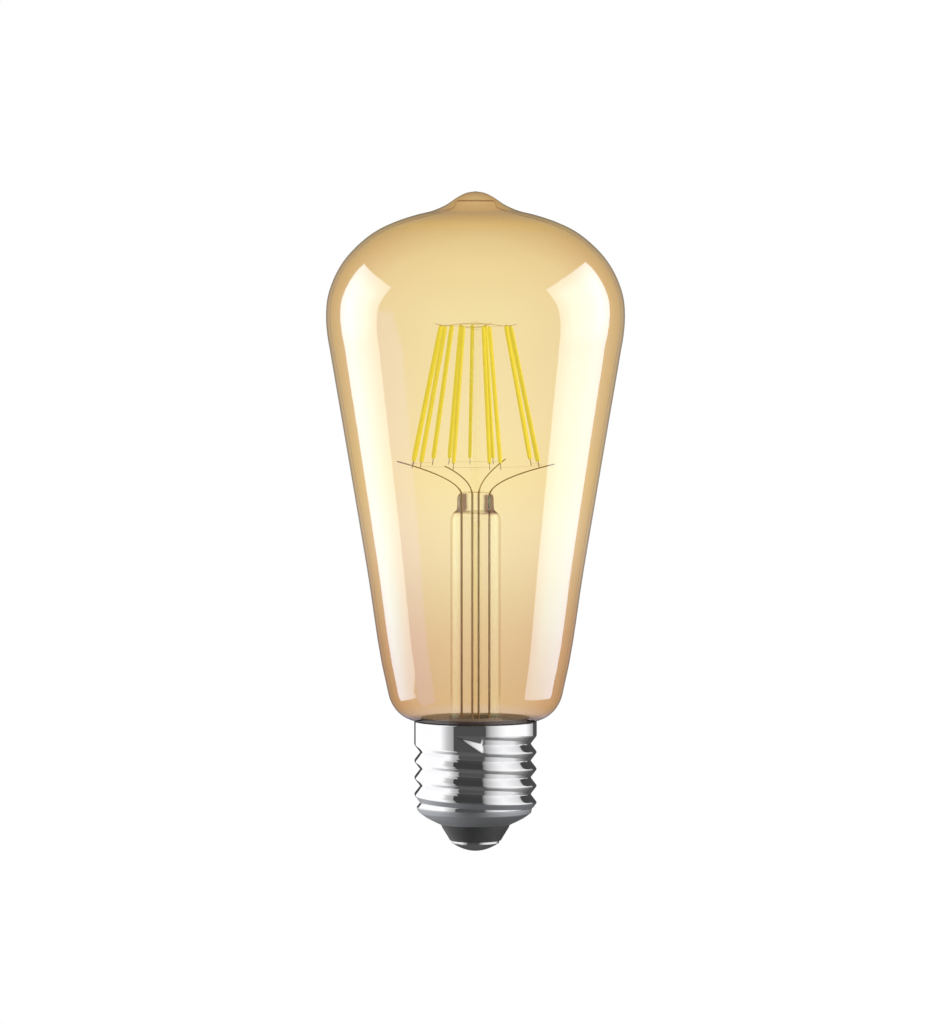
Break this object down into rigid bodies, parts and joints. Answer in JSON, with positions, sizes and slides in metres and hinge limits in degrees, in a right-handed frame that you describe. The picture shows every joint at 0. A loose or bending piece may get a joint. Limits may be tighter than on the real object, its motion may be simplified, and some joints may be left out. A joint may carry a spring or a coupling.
{
  "type": "smart light bulb",
  "caption": "Smart LED filament bulb: pear-shaped amber glass with a nipple on top, a glass mount carrying leaning filaments, and a nickel E27 screw cap that holds the driver and radio.",
  "frame": {"origin": "bottom centre of the centre contact, on its flat land", "axes": "+Z along the bulb's axis from the centre contact to the nipple of the glass; -Y is the side that faces the viewer in the reference view"},
  "size_m": [0.0642, 0.0642, 0.142],
  "materials": {
    "envelope": "clear amber, glossy",
    "clear_glass": "clear, glossy",
    "nickel_wire": "drawn wire, satin",
    "phosphor": "yellow silicone coating, satin",
    "shell": "bright nickel plate",
    "insulator": "black, slightly glossy",
    "contact": "satin grey metal",
    "cement": "matte baked cement",
    "sleeve": "matte",
    "board": "green solder mask, satin",
    "radio_board": "dark blue solder mask, satin",
    "component": "moulded black, matte",
    "capacitor": "shrink sleeve, glossy",
    "ferrite": "matte ferrite",
    "resistor": "lacquer, satin",
    "tinned": "tinned, satin",
    "live_insulation": "red insulation",
    "neutral_insulation": "blue insulation"
  },
  "bodies": {
    "root": {"glass_envelope": "envelope", "stem_glass": "clear_glass", "exhaust_tube": "clear_glass", "support_rod": "clear_glass", "hub_bead": "clear_glass", "crown_wire_a": "nickel_wire", "crown_wire_b": "nickel_wire", "screw_shell": "shell", "base_insulator": "insulator", "center_contact": "contact", "basing_cement": "cement", "insulating_sleeve": "sleeve", "driver_board": "board", "wireless_module": "radio_board", "module_shield": "tinned", "module_header": "component", "bridge_rectifier": "component", "driver_ic": "component", "bulk_capacitor": "capacitor", "power_inductor": "ferrite", "fusible_resistor": "resistor", "live_wire": "live_insulation", "neutral_wire": "neutral_insulation", "lead_wire_1": "nickel_wire", "link_wire_1": "nickel_wire", "lead_wire_2": "nickel_wire", "link_wire_2": "nickel_wire", "lead_wire_3": "nickel_wire", "link_wire_3": "nickel_wire", "lead_wire_4": "nickel_wire", "link_wire_4": "nickel_wire", "filament_01": "phosphor", "filament_02": "phosphor", "filament_03": "phosphor", "filament_04": "phosphor", "filament_05": "phosphor", "filament_06": "phosphor", "filament_07": "phosphor", "filament_08": "phosphor", "filament_09": "phosphor", "filament_10": "phosphor", "filament_11": "phosphor", "filament_12": "phosphor"}
  },
  "joints": []
}
